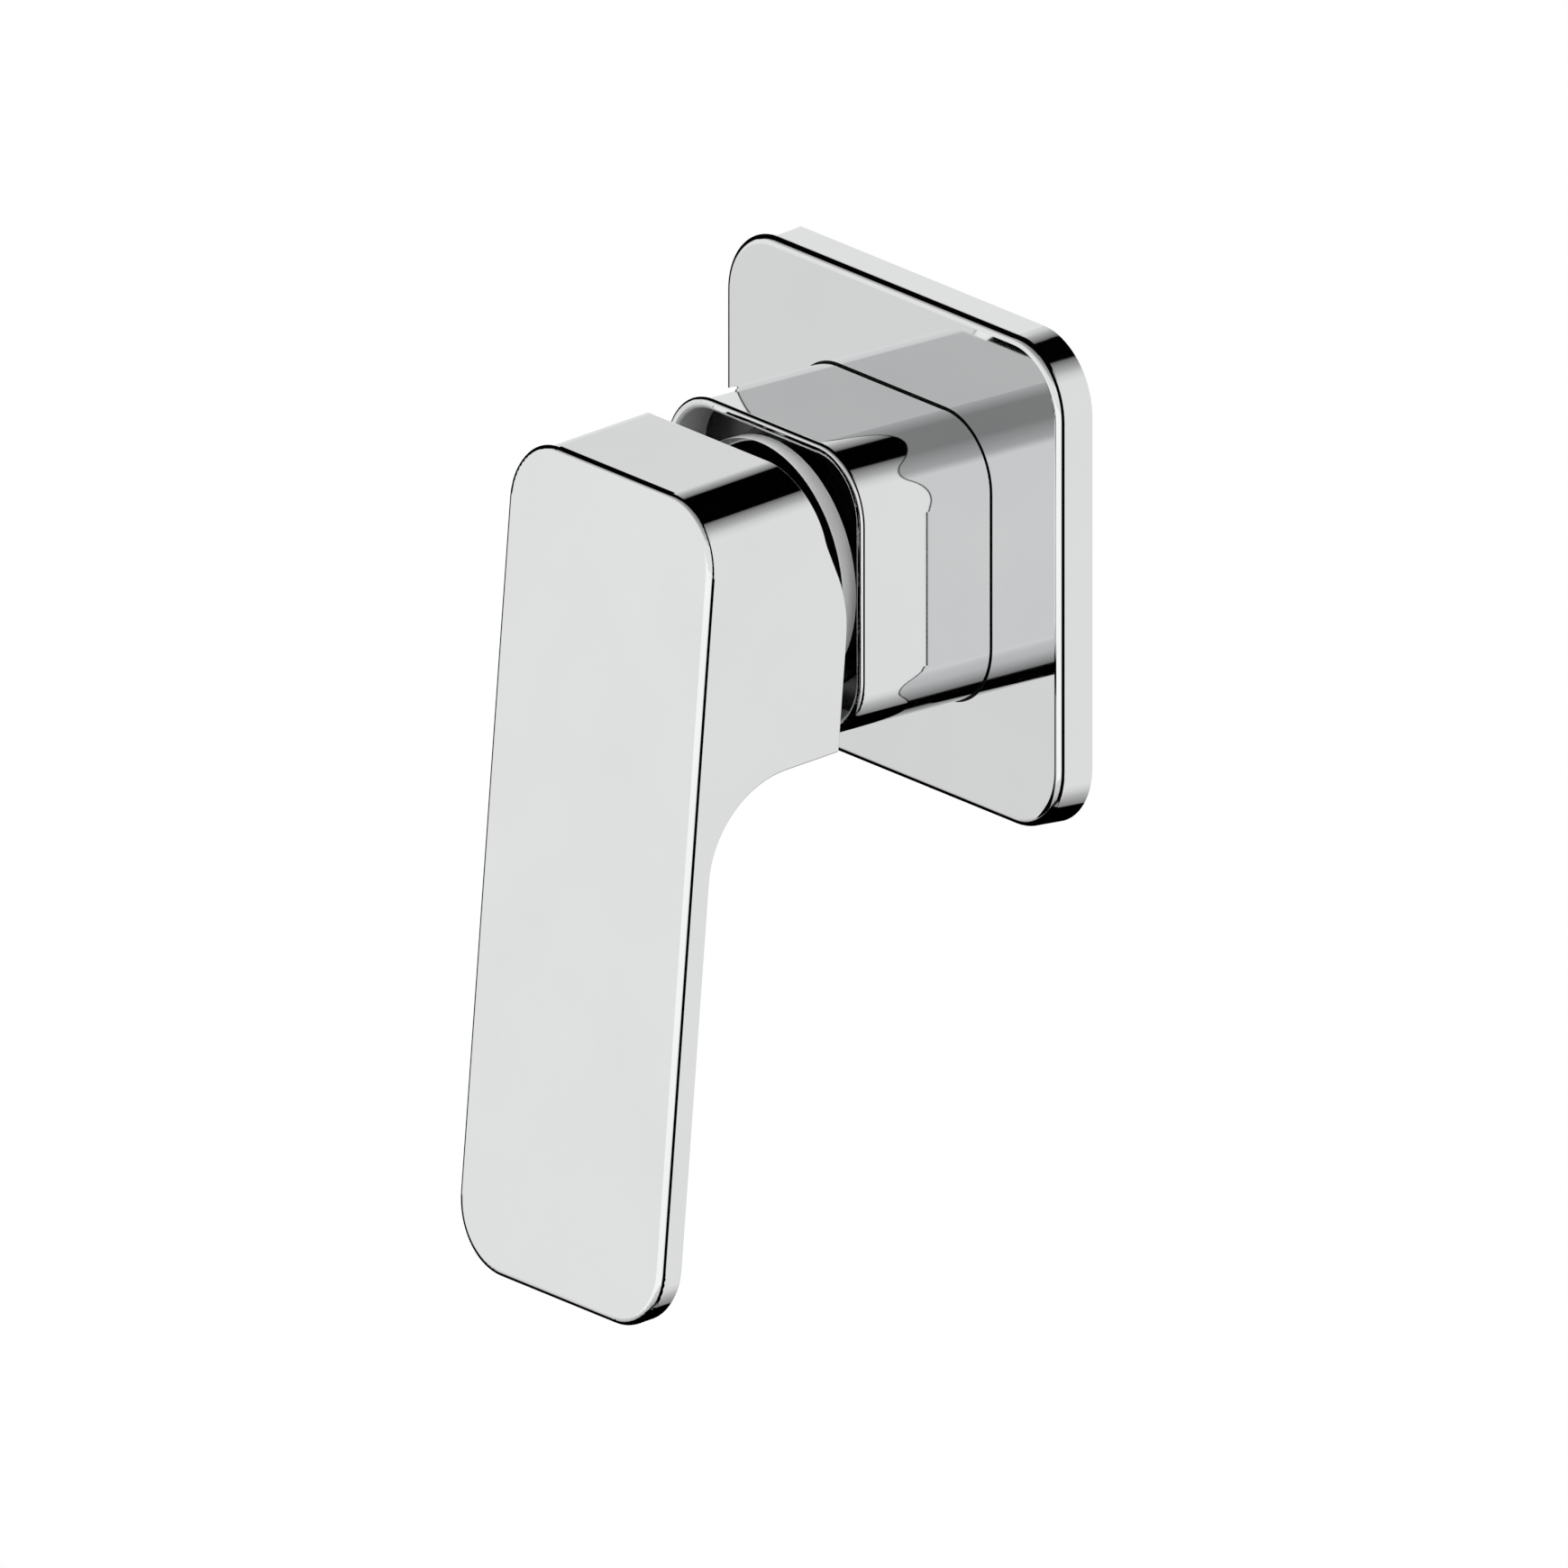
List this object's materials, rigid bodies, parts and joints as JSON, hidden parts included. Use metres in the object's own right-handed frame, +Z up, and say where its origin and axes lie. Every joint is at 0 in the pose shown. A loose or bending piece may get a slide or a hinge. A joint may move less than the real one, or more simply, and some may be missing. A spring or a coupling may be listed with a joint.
{
  "type": "shower trim set",
  "caption": "Wall-mounted single-lever shower mixer trim: square lever, square sleeve and wall plate over a ceramic cartridge in a brass carrier.",
  "frame": {"origin": "where the valve's axis meets the plane of the finished wall, in the middle of the four screws", "axes": "+X to the right facing the wall, +Y into the wall along the valve's axis, +Z up"},
  "size_m": [0.0834, 0.0825, 0.1521],
  "materials": {
    "chrome": "polished chrome plate",
    "brass": "machined brass",
    "steel": "turned stainless steel",
    "ceramic": "lapped ceramic",
    "white_plastic": "moulded acetal",
    "black_plastic": "moulded black plastic",
    "red_plastic": "moulded red plastic",
    "ptfe": "smooth PTFE",
    "rubber": "smooth black rubber",
    "foam": "closed-cell foam"
  },
  "bodies": {
    "wall_set": {"wall_plate": "chrome", "plate_gasket": "foam", "plate_seal": "rubber", "sleeve": "chrome", "sleeve_insert": "black_plastic", "insert_o_rings": "rubber", "valve_carrier": "brass", "carrier_screws": "steel", "spigot_o_ring": "rubber", "port_seals": "rubber", "inlet_filters": "steel", "cartridge_base": "white_plastic", "base_seals": "rubber", "disc_seals": "rubber", "fixed_disc": "ceramic", "cartridge_housing": "white_plastic", "friction_washer": "ptfe", "temperature_stop_ring": "red_plastic", "cartridge_nut": "brass", "dome_cover": "chrome"},
    "turning_guide": {"stem_guide": "white_plastic", "guide_seal": "rubber", "stem_pin": "steel"},
    "lever": {"stem": "steel", "stem_bush": "black_plastic", "handle": "chrome", "grub_screw": "steel", "screw_plug": "chrome"},
    "sliding_disc": {"disc_driver": "white_plastic", "moving_disc": "ceramic"}
  },
  "joints": [
    {"name": "temperature_turn", "type": "hinge", "parent": "wall_set", "child": "turning_guide", "pos_m": [0, -0.024, 0], "axis": [0, 1, 0], "range_deg": [-45, 45]},
    {"name": "lever_lift", "type": "hinge", "parent": "turning_guide", "child": "lever", "pos_m": [0, -0.024, 0], "axis": [-1, 0, 0], "range_deg": [0, 20]},
    {"name": "disc_slide", "type": "slide", "parent": "turning_guide", "child": "sliding_disc", "axis": [0, 0, -1], "range_m": [0, 0.00286]}
  ],
  "couplings": [
    {"joint": "disc_slide", "follows": "lever_lift", "m_per_rad": 0.0081584}
  ]
}
